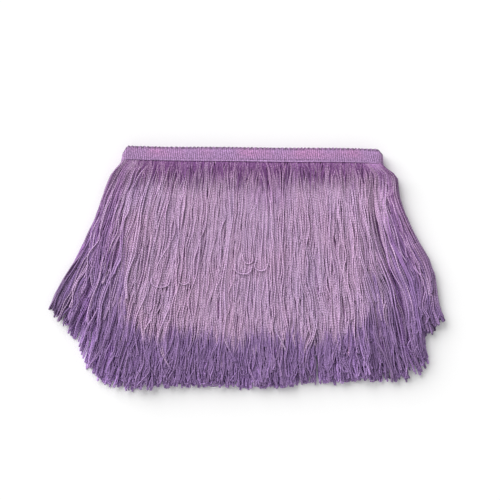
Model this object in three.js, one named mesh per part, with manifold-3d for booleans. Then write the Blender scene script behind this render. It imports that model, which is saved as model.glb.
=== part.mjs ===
// Chainette fringe trim: a narrow crocheted header with a long fringe of soft cords hanging from its
// lower edge. The length is wound flat in two turns and lies on its back, as it is stored.
//
// Frame, in millimetres: +X runs along the header, +Y points from the fringe's tips to the header, and
// +Z is up, out of the front face. The origin is the centre of the bounding box, on the resting plane.
// Inside this file x is measured from the middle of the header, y from the header's lower edge and z
// from the resting plane; the last lines move the whole group to its origin.
import * as THREE from "three";
import { mergeVertices } from "three/addons/utils/BufferGeometryUtils.js";
import Module from "manifold-3d";

const wasm = await Module();
wasm.setup();

// ---- Header ----
const WOUND_WIDTH = 178; // outside width of the winding
const HEADER_HEIGHT = 10;
const HEADER_THICKNESS = 1.5;
const LAYER_GAP = 0.4; // between two turns that lie on each other
const CORE_GAP = 2.6; // flat space in the middle of the winding
const OUTER_CUT_X = -85; // the outer cut end, on the back
const INNER_CUT_X = -83.5; // the inner cut end, under the front
const RIB_PITCH = 2.1; // crochet ribs across the header
const RIB_DEPTH = 0.3;
const CORD_LINE_HEIGHT = 2.2; // raised stitch line along the lower edge
const CORD_LINE_PROUD = 0.25;
const PICOT_DEPTH = 0.5; // notches between the small loops of the top edge
const PLAIN_STEP = 12; // spacing of sections where the header shows no ribs
const TURN_STEPS = 7; // sections in a half turn
// The header doesn't lie quite straight: its slow waves up and down, along x.
const HEADER_WAVES = [
  { height: 0.25, length: 195 },
  { height: -0.15, length: 80 },
];

// How the ends of the winding differ from a straight band, by side.
const END_ZONE = 6.5; // the ends' rounding starts this far in
const ENDS = {
  left: { side: -1, cornerDrop: 3.4, flareTop: 2.6, flareBottom: 1.4, lowerBy: 0.2 },
  right: { side: 1, cornerDrop: 4.2, flareTop: 1.8, flareBottom: 0.4, lowerBy: 1.6 },
};
const INNER_LOWER = 0.4; // the inner turn lies this much lower
const INNER_TURN_LOWER = 2.0; // and slips down this much further at both ends

// ---- Fringe ----
const ROOT_GAP = 0.3; // between the header's lower edge and the strip that holds the cords
const STRIP_HEIGHT = 1.7;
const STRIP_THICKNESS = 1.5;
const STRIP_END_X = 82.5; // the strips of the straight runs end here
const LOCK_GAP = 0.55; // between neighbouring locks
const LOCK_HEIGHT = 1.15;
const LAYER_LIFT = 1.45; // from one layer of locks to the next
const TIP_FROM = 0.8; // a lock draws in from this share of its length
const TIP_SHARE = 0.45; // to this share of its width at its tip
const TIP_RAGGED = 5; // range of the locks' lengths
const FAN_STRETCH = 1.045; // a cord's place in the fan, as a share of its place on the header
// Sideways waves of the cords: size, waves over a cord's length, and how far along the header the
// same wave comes back.
const CORD_WAVES = [
  { size: 1.3, turns: 1.3, repeat: 145 },
  { size: 0.8, turns: 2.4, repeat: 70 },
];
const SETTLE = 26; // below the header, the layers come down to their resting heights over this
const SHOULDER = 8; // and the cords of the two ends stand out to the sides over this
const FINE_STATIONS = [0, 0.08, 0.2, 0.42, 0.64, 0.84, 1];
const END_STATIONS = [0, 0.04, 0.08, 0.2, 0.42, 0.64, 0.84, 1];
const PLAIN_STATIONS = [0, 0.08, 0.2, 0.52, 0.84, 1];

// How the fringe spreads: where a cord rooted at rootX ends, and how far it stands out at once.
const FAN = [
  { rootX: -89, tipX: -136.3, tipY: -101.5, shoulder: 4.6 },
  { rootX: -86.7, tipX: -131.0, tipY: -108.5, shoulder: 4.2 },
  { rootX: -84, tipX: -124.8, tipY: -117.5, shoulder: 3.6 },
  { rootX: -80.6, tipX: -116.5, tipY: -122.0, shoulder: 2.8 },
  { rootX: -77.9, tipX: -111.5, tipY: -132.5, shoulder: 1.8 },
  { rootX: -75, tipX: -106.5, tipY: -146.0, shoulder: 1.0 },
  { rootX: -69.7, tipX: -98.6, tipY: -151.0, shoulder: 0 },
  { rootX: -64.3, tipX: -90.5, tipY: -154.0, shoulder: 0 },
  { rootX: -52.7, tipX: -74.0, tipY: -155.0, shoulder: 0 },
  { rootX: -18.7, tipX: -25.5, tipY: -152.0, shoulder: 0 },
  { rootX: 18.7, tipX: 23.0, tipY: -152.5, shoulder: 0 },
  { rootX: 49.3, tipX: 60.5, tipY: -149.0, shoulder: 0 },
  { rootX: 62.9, tipX: 78.0, tipY: -147.0, shoulder: 0 },
  { rootX: 71.7, tipX: 92.0, tipY: -147.0, shoulder: 0 },
  { rootX: 77.2, tipX: 102.5, tipY: -146.0, shoulder: 1.4 },
  { rootX: 81.3, tipX: 111.5, tipY: -140.0, shoulder: 2.8 },
  { rootX: 84, tipX: 117.5, tipY: -130.5, shoulder: 4.2 },
  { rootX: 86, tipX: 122.0, tipY: -119.5, shoulder: 5.4 },
  { rootX: 89, tipX: 131.0, tipY: -105.5, shoulder: 6.6 },
];

// The layers of fringe from the bottom up, each hanging from one straight run of the header.
const LAYERS = [
  { name: "fringe_back_outer", turn: "outer", face: "back", locks: 46, stagger: 0.1, fine: false },
  { name: "fringe_back_inner", turn: "inner", face: "back", locks: 34, stagger: 0.8, fine: false },
  { name: "fringe_front_inner", turn: "inner", face: "front", locks: 40, stagger: 0.3, fine: false },
  { name: "fringe_front_outer", turn: "outer", face: "front", locks: 66, stagger: 0.6, fine: true },
];
// The locks that hang from the outer turn's two ends: place on the half turn in degrees (90 is the
// front run, -90 the back run), place in the fan as a distance from the end, and resting layer.
const END_LOCKS = [
  { angle: 62, inset: 2.1, rank: 3 },
  { angle: 33, inset: 3.7, rank: 2 },
  { angle: 11, inset: 1.4, rank: 2 },
  { angle: -11, inset: 2.9, rank: 1 },
  { angle: -33, inset: 0.7, rank: 1 },
  { angle: -55, inset: 2.1, rank: 0 },
  { angle: -77, inset: 0, rank: 0 },
];
const END_STRIP_ANGLE = 82; // the strip of an end covers this much of the half turn, up and down
const END_ROOT_WIDTH = 1.3;
const END_TIP_WIDTH = 4.4;

const LOOK_AHEAD = 0.02; // share of a cord's length over which its direction is measured

const YARN_COLOUR = 0x9a72a4;
const HEADER_COLOUR = 0xab82b2;

// ---- Small helpers ----
const clamp = (v) => Math.min(1, Math.max(0, v));
const smooth = (v) => clamp(v) ** 2 * (3 - 2 * clamp(v));
const mix = (a, b, share) => a + (b - a) * share;
const radians = THREE.MathUtils.degToRad;
const waveAt = (turns) => Math.sin(2 * Math.PI * turns);
const halfWidth = WOUND_WIDTH / 2;
const endOf = (x) => (x < 0 ? ENDS.left : ENDS.right);

// The fan's values for a cord rooted at x.
function fanAt(x) {
  const above = Math.min(FAN.length - 1, Math.max(1, FAN.findIndex((row) => row.rootX >= x)));
  const [low, high] = [FAN[above - 1], FAN[above]];
  const share = (x - low.rootX) / (high.rootX - low.rootX);
  const value = (column) => mix(low[column], high[column], share);
  return { tipX: value("tipX"), tipY: value("tipY"), shoulder: Math.sign(x) * value("shoulder") };
}

// A repeatable number from -0.5 to 0.5 for each pair of whole numbers.
function scatter(i, salt) {
  const v = Math.sin(i * 12.9898 + salt * 78.233) * 43758.5453;
  return v - Math.floor(v) - 0.5;
}

// Heights of the four runs' middles, from the resting plane up.
const lift = HEADER_THICKNESS + LAYER_GAP;
const runZ = {
  outer: { back: HEADER_THICKNESS / 2 },
  inner: { back: HEADER_THICKNESS / 2 + lift },
};
runZ.inner.front = runZ.inner.back + HEADER_THICKNESS + CORE_GAP;
runZ.outer.front = runZ.inner.front + lift;

// The half turns that join the runs: centre and radius of the header's middle line, and innerAt, how
// far a place on it, by its angle in degrees, belongs to the inner turn.
function halfTurn(side, lowZ, highZ, reach, innerAt) {
  const radius = (highZ - lowZ) / 2;
  const x = side * (reach - HEADER_THICKNESS / 2 - radius);
  return { side, x, z: (lowZ + highZ) / 2, radius, innerAt };
}
const outerRight = halfTurn(1, runZ.outer.back, runZ.outer.front, halfWidth, () => 0);
const outerLeft = halfTurn(-1, runZ.inner.back, runZ.outer.front, halfWidth, (a) => (90 - a) / 180);
const innerRight = halfTurn(1, runZ.inner.back, runZ.inner.front, halfWidth - lift, () => 1);

// A place on a half turn's middle line, and the direction out of the winding there.
function turnPlace(t, angle) {
  const outX = t.side * Math.cos(radians(angle));
  const outZ = Math.sin(radians(angle));
  return { x: t.x + t.radius * outX, z: t.z + t.radius * outZ, outX, outZ, inner: t.innerAt(angle) };
}

// How far the ends' rounding has gone at x: 0 on the straight, 1 at the very end.
const endShare = (x) => smooth((Math.abs(x) - (halfWidth - END_ZONE)) / END_ZONE);

// Moves a point of the straight winding to where it lies: the ends' top corners are pulled in and
// down, and their lower edges stand out.
function placed(x, y, z, inner) {
  const end = endOf(x);
  const share = endShare(x);
  const up = y / HEADER_HEIGHT;
  const outward = share * mix(end.flareBottom, -end.flareTop, up);
  const down = share * (end.cornerDrop * clamp(up) + end.lowerBy * (1 - clamp(up)));
  const slipped = inner * (INNER_TURN_LOWER * share + INNER_LOWER);
  const line = HEADER_WAVES.reduce((sum, wave) => sum + wave.height * waveAt(x / wave.length), 0);
  return [x + end.side * outward, y - down - slipped + line, z];
}

// ---- Meshes ----
// A closed mesh through rings of points, each ring with the same number of corners. The caps are
// fans from each end ring's corner `capCorner`.
function loft(rings, capCorner = 0) {
  const corners = rings[0].length;
  const faces = [];
  for (let i = 0; i + 1 < rings.length; i++)
    for (let k = 0; k < corners; k++) {
      const next = (k + 1) % corners;
      faces.push([rings[i][k], rings[i + 1][k], rings[i + 1][next]]);
      faces.push([rings[i][k], rings[i + 1][next], rings[i][next]]);
    }
  for (const [ring, flip] of [[rings[0], false], [rings[rings.length - 1], true]])
    for (let k = 1; k + 1 < corners; k++) {
      const fan = [capCorner, capCorner + k, capCorner + k + 1].map((c) => ring[c % corners]);
      faces.push(flip ? fan.reverse() : fan);
    }
  const volume = faces.reduce((sum, [a, b, c]) => {
    const cross = new THREE.Vector3(...b).cross(new THREE.Vector3(...c));
    return sum + cross.dot(new THREE.Vector3(...a));
  }, 0);
  if (volume < 0) faces.forEach((face) => face.reverse());
  const geometry = new THREE.BufferGeometry();
  geometry.setAttribute("position", new THREE.Float32BufferAttribute(faces.flat(2), 3));
  return mergeVertices(geometry, 1e-4);
}

function solidFrom(geometry) {
  return new wasm.Manifold(
    new wasm.Mesh({
      numProp: 3,
      vertProperties: geometry.attributes.position.array,
      triVerts: new Uint32Array(geometry.index.array),
    }),
  );
}

function geometryFrom(solid) {
  const { vertProperties, triVerts } = solid.getMesh();
  const geometry = new THREE.BufferGeometry();
  geometry.setAttribute("position", new THREE.BufferAttribute(vertProperties, 3));
  geometry.setIndex(new THREE.BufferAttribute(triVerts, 1));
  return geometry;
}

// ---- Header: one band through the whole winding ----
// Stations along the band's middle line: place, outward direction, and whether it lies in a valley
// between two ribs. The winding starts at its outer cut end, on the back.
function headerStations() {
  const stations = [];
  const run = (fromX, toX, z, outZ, step, inner, ribbed) => {
    const steps = Math.max(1, Math.round(Math.abs(toX - fromX) / step));
    for (let i = 0; i <= steps; i++)
      stations.push({
        x: mix(fromX, toX, i / steps),
        z,
        outX: 0,
        outZ,
        inner,
        valley: ribbed ? i % 2 === 1 : undefined,
      });
  };
  const turn = (t, fromAngle, toAngle) => {
    for (let i = 1; i < TURN_STEPS; i++)
      stations.push(turnPlace(t, mix(fromAngle, toAngle, i / TURN_STEPS)));
  };
  const plainRun = (fromX, toX, z, outZ, inner) => {
    const bend = Math.sign(fromX) * STRIP_END_X;
    run(fromX, bend, z, outZ, PLAIN_STEP, inner, false);
    run(bend, -bend, z, outZ, PLAIN_STEP, inner, false);
    run(-bend, toX, z, outZ, PLAIN_STEP, inner, false);
  };
  plainRun(OUTER_CUT_X, outerRight.x, runZ.outer.back, -1, 0);
  turn(outerRight, -90, 90);
  run(outerRight.x, outerLeft.x, runZ.outer.front, 1, RIB_PITCH / 2, 0, true);
  turn(outerLeft, 90, -90);
  plainRun(outerLeft.x, innerRight.x, runZ.inner.back, -1, 1);
  turn(innerRight, -90, 90);
  plainRun(innerRight.x, INNER_CUT_X, runZ.inner.front, 1, 1);
  const repeats = (a, b) => b !== undefined && a.x === b.x && a.z === b.z;
  return stations.filter((station, i) => !repeats(station, stations[i - 1]));
}

// The band's section at a station: outer face from the top down, with the ribs' field and the raised
// stitch line, and then the plain inner face.
function headerSection(station) {
  const half = HEADER_THICKNESS / 2;
  const ribbed = station.valley !== undefined;
  const field = half - (station.valley ? RIB_DEPTH : 0);
  const top = HEADER_HEIGHT - (station.valley ? PICOT_DEPTH : 0);
  const corners = [
    [top, field],
    [CORD_LINE_HEIGHT, field],
    [CORD_LINE_HEIGHT / 2, half + (ribbed ? CORD_LINE_PROUD : 0)],
    [0, half],
    [0, -half],
    [top, -half],
  ];
  return corners.map(([y, out]) =>
    placed(station.x + out * station.outX, y, station.z + out * station.outZ, station.inner),
  );
}

const headerGeometry = loft(headerStations().map(headerSection), 4);

// ---- Fringe ----
// Where a cord lies: a point at a share of its length, from 0 at the root to 1 at the tip. It is
// rooted at rootX and follows the fan of a cord rooted at fanX.
function cordLine({ rootX, rootZ, fanX, restZ, inner, salt }) {
  const fan = fanAt(fanX);
  const [x0, y0] = placed(rootX, -ROOT_GAP - STRIP_HEIGHT / 2, rootZ, inner);
  const fall = y0 - fan.tipY + TIP_RAGGED * scatter(salt, 1);
  const reach = fan.tipX - x0 - fan.shoulder;
  return (share) => {
    const down = fall * share;
    const waves = CORD_WAVES.reduce(
      (sum, wave) => sum + wave.size * waveAt(share * wave.turns + fanX / wave.repeat),
      0,
    );
    const sideways = share * (1 - share / 2) * waves;
    const x = x0 + fan.shoulder * smooth(down / SHOULDER) + reach * share + sideways;
    return [x, y0 - down, mix(rootZ, restZ, smooth(down / SETTLE))];
  };
}

// The direction of a line in plan at a share of its length.
function heading(line, share) {
  const [ax, ay] = line(Math.max(0, share - LOOK_AHEAD));
  const [bx, by] = line(Math.min(1, share + LOOK_AHEAD));
  const along = Math.hypot(bx - ax, by - ay);
  return [(bx - ax) / along, (by - ay) / along];
}

// One lock: three-sided, flat below, and drawn in at its tip. `width` gives its width at a share of
// its length.
function lock(line, width, stations) {
  const rings = stations.map((share) => {
    const [x, y, z] = line(share);
    const [dx, dy] = heading(line, share);
    const drawnIn = mix(1, TIP_SHARE, clamp((share - TIP_FROM) / (1 - TIP_FROM)));
    const half = (width(share) * drawnIn) / 2;
    return [
      [x - dy * half, y + dx * half, z],
      [x + dy * half, y - dx * half, z],
      [x, y, z + (LOCK_HEIGHT * (1 + drawnIn)) / 2],
    ];
  });
  return solidFrom(loft(rings));
}

// The strip that holds a layer's roots, along places on the header's middle line.
function rootStrip(places) {
  const half = STRIP_THICKNESS / 2;
  const top = -ROOT_GAP;
  const bottom = top - STRIP_HEIGHT;
  const corners = [
    [top, half],
    [bottom, half],
    [bottom, -half],
    [top, -half],
  ];
  const rings = places.map(({ x, z, outX, outZ, inner }) =>
    corners.map(([y, out]) => placed(x + out * outX, y, z + out * outZ, inner)),
  );
  return solidFrom(loft(rings));
}

// A layer of fringe along one straight run. Each lock is as wide as its neighbours leave room for.
function straightFringe({ turn, face, locks, stagger, fine }, rank) {
  const z = runZ[turn][face];
  const inner = turn === "inner" ? 1 : 0;
  const outZ = face === "front" ? 1 : -1;
  const steps = Math.round((2 * STRIP_END_X) / PLAIN_STEP);
  const places = [];
  for (let i = 0; i <= steps; i++)
    places.push({ x: mix(-STRIP_END_X, STRIP_END_X, i / steps), z, outX: 0, outZ, inner });
  let solid = rootStrip(places);
  const pitch = (2 * STRIP_END_X) / (locks + 1);
  const rootZ = rank === 0 ? 0 : z - LOCK_HEIGHT / 2;
  const restZ = rank * LAYER_LIFT;
  for (let i = 0; i < locks; i++) {
    const rootX = -STRIP_END_X + pitch * (i + 0.5 + stagger);
    const salt = i + 100 * rank;
    const [before, line, after] = [-pitch / 2, 0, pitch / 2].map((offset) => {
      const x = rootX + offset;
      return cordLine({ rootX: x, rootZ, fanX: x * FAN_STRETCH, restZ, inner, salt });
    });
    const width = (share) => {
      const [x1, y1] = before(share);
      const [x2, y2] = after(share);
      const [dx, dy] = heading(line, share);
      return Math.abs((x2 - x1) * dy - (y2 - y1) * dx) - LOCK_GAP;
    };
    solid = solid.add(lock(line, width, fine ? FINE_STATIONS : PLAIN_STATIONS));
  }
  return geometryFrom(solid);
}

// The fringe that hangs from one end of the outer turn.
function endFringe(t) {
  const places = [];
  for (let i = 0; i <= TURN_STEPS; i++)
    places.push(turnPlace(t, mix(END_STRIP_ANGLE, -END_STRIP_ANGLE, i / TURN_STEPS)));
  let solid = rootStrip(places);
  END_LOCKS.forEach(({ angle, inset, rank }, i) => {
    const root = turnPlace(t, angle);
    const line = cordLine({
      rootX: root.x,
      rootZ: root.z - LOCK_HEIGHT / 2,
      fanX: t.side * (halfWidth - inset),
      restZ: rank * LAYER_LIFT,
      inner: root.inner,
      salt: 500 + i + 10 * t.side,
    });
    const width = (share) => mix(END_ROOT_WIDTH, END_TIP_WIDTH, share);
    solid = solid.add(lock(line, width, END_STATIONS));
  });
  return geometryFrom(solid);
}

// ---- The trim ----
const headerCloth = new THREE.MeshStandardMaterial({ color: HEADER_COLOUR, roughness: 0.8, metalness: 0 });
const yarn = new THREE.MeshStandardMaterial({ color: YARN_COLOUR, roughness: 0.6, metalness: 0 });

const trim = new THREE.Group();
function addPiece(name, geometry, material) {
  const mesh = new THREE.Mesh(geometry, material);
  mesh.name = name;
  trim.add(mesh);
}
addPiece("header", headerGeometry, headerCloth);
LAYERS.forEach((layer, rank) => addPiece(layer.name, straightFringe(layer, rank), yarn));
addPiece("fringe_left_end", endFringe(outerLeft), yarn);
addPiece("fringe_right_end", endFringe(outerRight), yarn);

const bounds = new THREE.Box3().setFromObject(trim);
const middle = bounds.getCenter(new THREE.Vector3());
trim.position.set(-middle.x, -middle.y, -bounds.min.z);

export default trim;
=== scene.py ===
"""A length of lilac chainette fringe trim, wound flat in two turns and lying face up on a pale floor.

Sizes are in millimetres and measured from the header: x from its middle, y up from its lower edge and
z up from the floor. Meshes are moved to the frame's origin and turned to metres as they are made.
A pair of values "by side" holds one for the left side, where x is below 0, and one for the right.
"""
import math

import bpy
import numpy as np
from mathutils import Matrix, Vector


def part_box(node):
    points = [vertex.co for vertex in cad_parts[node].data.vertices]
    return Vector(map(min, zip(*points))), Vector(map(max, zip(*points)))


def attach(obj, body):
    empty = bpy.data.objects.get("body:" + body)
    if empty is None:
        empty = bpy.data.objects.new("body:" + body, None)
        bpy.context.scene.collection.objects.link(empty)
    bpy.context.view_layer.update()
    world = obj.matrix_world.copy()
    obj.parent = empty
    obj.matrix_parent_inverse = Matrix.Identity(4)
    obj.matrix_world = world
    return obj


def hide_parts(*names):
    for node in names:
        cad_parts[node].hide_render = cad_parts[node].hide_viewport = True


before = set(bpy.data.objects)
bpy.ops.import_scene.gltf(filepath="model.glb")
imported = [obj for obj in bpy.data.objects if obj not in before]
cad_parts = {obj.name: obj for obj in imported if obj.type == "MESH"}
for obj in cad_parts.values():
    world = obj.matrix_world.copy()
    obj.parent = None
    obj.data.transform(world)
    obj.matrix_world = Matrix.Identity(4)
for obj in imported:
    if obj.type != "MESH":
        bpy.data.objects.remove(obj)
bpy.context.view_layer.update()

MM = 0.001
TAU = 2 * math.pi

# ---- Header: the winding ----
WOUND_WIDTH = 178.0
HEADER_HEIGHT = 10.0
HEADER_THICKNESS = 1.5
LAYER_GAP = 0.4
CORE_GAP = 2.6
OUTER_CUT_X = -85.0
INNER_CUT_X = -83.5
INNER_LOWER = 0.4
INNER_TURN_LOWER = 2.0
END_ZONE = 5.0
END_LEFT = {"side": -1, "corner_drop": 3.6, "flare_top": 0.6, "flare_bottom": 0.6, "lower_by": 0.2}
END_RIGHT = {"side": 1, "corner_drop": 3.0, "flare_top": 0.4, "flare_bottom": 0.4, "lower_by": 1.6}
HEADER_WAVES = [{"height": 0.25, "length": 195.0}, {"height": -0.15, "length": 80.0}]

half_width = WOUND_WIDTH / 2
lift = HEADER_THICKNESS + LAYER_GAP
Z_BACK_OUTER = HEADER_THICKNESS / 2
Z_BACK_INNER = Z_BACK_OUTER + lift
Z_FRONT_INNER = Z_BACK_INNER + HEADER_THICKNESS + CORE_GAP
Z_FRONT_OUTER = Z_FRONT_INNER + lift

# ---- Header: its crochet ----
RIB_PITCH = 1.3
RIB_DEPTH = 0.3
STITCH_PITCH = 1.5
STITCH_DEPTH = 0.14
STITCH_SWAYS = [
    {"size": 0.4, "length": 3.1, "lean": 0.0},
    {"size": 0.3, "length": 7.7, "lean": 0.5},
    {"size": 0.2, "length": 1.9, "lean": 1.0},
]
INNER_FACE_MOST = 0.55
PICOT_PITCH = 2.6
PICOT_HEIGHT = 0.75
PICOTS_FROM = 6.0
TOP_ROUNDING = 0.9
BOTTOM_ROUNDING = 0.6
EDGE_CORD = 0.9
EDGE_CORD_THICKNESS = 1.5
EDGE_THINNEST = 0.2
GROOVE_WIDTH = 0.8
GROOVE_DEPTH = 0.2
# How far the lower edge is lifted, at the left and from x = -20 on, and where this changes.
EDGE_LIFT = (0.65, 0.35)
EDGE_LIFT_ZONE = (-70, -20)
# The corded lower edge starts to show here, and shows less again from here.
EDGE_CORD_ZONE = (-62, -32)
EDGE_CORD_FADE = (50, 70)
# Painted shade towards the header's upper edge, from and to these heights.
TOP_EDGE_SHADE = (HEADER_HEIGHT - 2.3, HEADER_HEIGHT - 0.6)
FINE_STEP = 0.25
COARSE_STEP = 0.9
OUTER_ROWS = 26
INNER_ROWS = 8
ROW_CROWDING = 0.45
# Where the header is darker: towards which side, from and to which distance from its middle, how much.
# The last one is painted shade on the left end's turn, which faces the light.
HEADER_SHADES = [
    {"side": 1, "from": 45, "to": 65, "by": 0.04},
    {"side": -1, "from": 62, "to": 82, "by": 0.08},
    {"side": -1, "from": 86, "to": 88.5, "by": 0.2},
]

# ---- Fringe: its outline ----
FRINGE_LENGTH = 152.0
FAN = np.array([
    # root x, tip x, tip y, shoulder
    (-89, -136.0, -100.2, 2.2),
    (-86.7, -130.5, -105.8, 2.2),
    (-84, -125.0, -116.5, 2.0),
    (-80.6, -118.0, -123.0, 1.7),
    (-77.9, -113.2, -135.8, 1.3),
    (-75, -109.4, -146.5, 0.9),
    (-69.7, -100.0, -151.5, 0),
    (-64.3, -90.5, -154.5, 0),
    (-52.7, -74.0, -155.0, 0),
    (-36, -50.0, -153.6, 0),
    (-18.7, -25.5, -152.4, 0),
    (0, -1.0, -154.0, 0),
    (18.7, 23.0, -153.0, 0),
    (32, 39.5, -149.4, 0),
    (49.3, 60.5, -149.0, 0),
    (62.9, 78.0, -147.0, 0),
    (71.7, 92.0, -147.2, 0),
    (77.2, 105.4, -148.0, 1.8),
    (81.3, 117.6, -142.2, 3.6),
    (84, 122.4, -131.5, 5.0),
    (86, 118.6, -119.8, 6.2),
    (89, 133.0, -106.0, 7.2),
])
FAN_ROOT, FAN_TIP_X, FAN_TIP_Y, FAN_SHOULDER = FAN.T
FAN_STRETCH = 1.045
SHOULDER = 9.5
# The right side's cords bend: they run down at first and outwards later.
RIGHT_BEND = 0.65
BEND_ZONE = (35, 60)
BEND_END = (79, 85)
# How far the outermost cords bow outwards: share of the length, on the left, on the right.
END_BOWS = np.array([
    (0.0, 0.0, 0.0),
    (0.05, 0.4, 0.8),
    (0.1, 0.8, 0.0),
    (0.2, 0.7, -2.4),
    (0.3, -0.3, -3.0),
    (0.4, -2.0, -2.9),
    (0.5, -1.6, -1.0),
    (0.6, -0.4, 2.4),
    (0.7, 0.0, 2.8),
    (0.8, 0.4, 0.9),
    (0.9, 0.6, -0.8),
    (1.0, 0.7, 0.4),
])
SLOW_WAVES = [{"size": 1.3, "turns": 1.3, "repeat": 145.0}, {"size": 0.8, "turns": 2.4, "repeat": 70.0}]
tip_share = np.concatenate([[0], np.cumsum(np.hypot(np.diff(FAN_TIP_X), np.diff(FAN_TIP_Y)))])
tip_arc = tip_share[-1]
tip_share /= tip_arc

# ---- Fringe: its cords ----
CORD_RADIUS = 0.43
CORD_SIDES = 4
LEG_STEPS = 39
TIP_STEPS = 5
TIP_WIDTH = 0.4
# A tip with more than this half width is an open U.
OPEN_TIP = 1.0
LEG_WIDTH = (0.42, 1.3)
ROOT_INSIDE = 0.9
ROOT_GROUP = 3.4
ROOT_GATHER = 0.45
ROOT_LEAN = 3.8
ROOT_FADE = 15
SETTLE = (14, 26.0)
LOWEST = CORD_RADIUS * 1.15
HIGHEST = 8.5
LOCKS = 62
LOCK_WIDTH = (2.5, 8.5)
GROUP_WIDTH = 1.7
RIM_FROM = 85
TO_GROUP = 0.4
TO_LOCK = (0.0, 0.5)
HANGING_GROUPS = 0.36
DROOP_FALL = 0.12
DROOP_BY_SIDE = (1.0, 0.12)
# Zones, from and to a distance from the middle: more cords rise, the ends bow and cords are kept in.
RISER_ZONE = (45, 65)
BOW_ZONE = (68, 85)
KEPT_IN_ZONE = (60, 87)
KEPT_IN = 0.85
# Stretches, from and to a share of a cord's length: it droops, it tangles and its tip leans.
DROOP_STRETCH = (0.4, 1)
TANGLE_STRETCH = (0.74, 0.94)
TIP_STRETCH = (0.86, 1.06)
# Sideways play in the middle of the trim and at its rim, and how much of a cord's own is left there.
LOCK_PLAY = (0.7, 2.4)
LOCK_CURL = (0.15, 1.3)
OWN_PLAY_BY_SIDE = (0.8, 1.5)
GROUP_PLAY = {"wave": 0.95, "lean": 2.4}
TANGLED_LEAN = 2.4
# Random waves: their size, and how many turns they make along a cord, at least and at most.
OWN_WAVES = [(1.0, 0.4, 1.1), (0.95, 1.8, 4.5)]
RISER_WAVE = (1.7, 2.2, 4.2)
FINE_WAVE = (0.16, 9, 17)
LEG_WAVES = [(0.8, 0.8, 2.2), (0.38, 4, 8)]
TANGLED_WAVE = (1.2, 5, 9)
HEIGHT_WAVE = (0.3, 1.5, 4)
LEG_HEIGHT_WAVE = (0.28, 5, 10)
TANGLED_HEIGHT_WAVE = (0.2, 5, 9)
GROUP_HEIGHT_BY_SIDE = (0.5, 0.9)
RISER_HEIGHT_BY_SIDE = (0.6, 0.9)
STRAY_RISE = 1.5
# Painted sheen: groups of cords near the rim are brighter or darker at random, by side.
GROUP_SHINE_BY_SIDE = (0.06, 0.08)

# Each layer of fringe: the header run that it hangs from, its loops and the slab that they settle
# into. Then by how much its cords are cut short, all of them and at most, and the share that ends
# early. Then how far they droop, how pale they are, where the lower layers are kept less pale as
# painted shade, how loose they are, the share that rises and how deep the layer is buried.
LAYERS = [
    {"node": "fringe_back_outer", "z": Z_BACK_OUTER, "inner": 0, "loops": 240, "slab": (0.0, 1.5),
     "cut": 0.5, "short": 3, "early": 0.0,
     "droop": 4, "depth_shade": 0.8, "loose": 0.4, "risers": 0.0, "buried": 0.5},
    {"node": "fringe_back_inner", "z": Z_BACK_INNER, "inner": 1, "loops": 140, "slab": (1.2, 2.9),
     "cut": 0.8, "short": 6, "early": 0.0,
     "droop": 8, "depth_shade": 0.85, "loose": 0.6, "risers": 0.0, "buried": 0.5},
    {"node": "fringe_front_inner", "z": Z_FRONT_INNER, "inner": 1, "loops": 250, "slab": (2.8, 4.6),
     "cut": 1.2, "short": 14, "early": 0.0,
     "droop": 16, "depth_shade": 0.92, "loose": 0.8, "risers": 0.0, "buried": 0.35},
    {"node": "fringe_front_outer", "z": Z_FRONT_OUTER, "inner": 0, "loops": 260, "slab": (4.2, 5.4),
     "cut": 2.2, "short": 22, "early": 0.25,
     "droop": 28, "depth_shade": 1.0, "loose": 1.0, "risers": 0.07, "buried": 0.05},
    {"node": "fringe_front_outer", "z": Z_FRONT_OUTER, "inner": 0, "loops": 260, "slab": (4.6, 5.8),
     "cut": 2.6, "short": 30, "early": 0.4,
     "droop": 38, "depth_shade": 1.0, "loose": 1.0, "risers": 0.12, "buried": 0.0},
]
LAYER_SEED = 100
# Roots are spaced partly evenly and, by this share, as the outline's length between their tips.
ROOTS_BY_TIPS = 0.6
EARLY_ZONE = (42, 64)
EARLY_BY = (4, 52)
EARLY_RISE = (0.3, 0.9)

# The two ends, where the header turns round to the back. Their loops are spread over the half turn.
END_SEED = 200
END_LOOPS = 52
END_SPREAD = 84
END_ROOT_INSET = 0.7
END_FAN_INSET = 4.6
END_TOP = 5.0
END_CUT = {"mean": 0.5, "play": 1.2, "most": 10}
END_LOOSE = 0.5
END_RISERS = 0.08
# Painted shade on the end cords, most at the left end, which faces the light.
END_SHADE = {-1: 0.76, 1: 0.92}
# Rising end cords: a painted highlight at the right end, painted shade at the left.
END_RISER_LIGHT_AND_SHADE = 0.08

# Single cords that stand out of the top layer: fan x, length, half width of the tip, lean at the tip,
# lightness and brightness. The brightness paints a highlight on the raised loops and shade on the two
# loops at the bottom.
STRAYS = np.array([
    (-50.5, 81.0, 6.2, 0.0, 0.0, 1.05),
    (-39.5, 79.0, 3.8, 1.0, 0.0, 1.05),
    (-4.6, 74.0, 5.6, 0.0, 0.0, 1.05),
    (-1.6, 66.0, 3.4, 1.0, 0.0, 1.05),
    (7.5, 69.0, 4.4, -1.0, 0.0, 1.05),
    (-17.0, 148.0, 4.5, 0.0, 0.0, 0.6),
    (30.0, 144.0, 4.0, 0.0, 0.0, 0.65),
    (-48.0, 138.0, 0.25, 7.5, 0.35, 1.0),
    (-13.0, 134.0, 0.25, 7.5, 0.35, 1.0),
    (13.5, 126.0, 0.25, 6.0, 0.35, 1.0),
])
STRAY_DEPTH = 0.9

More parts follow.
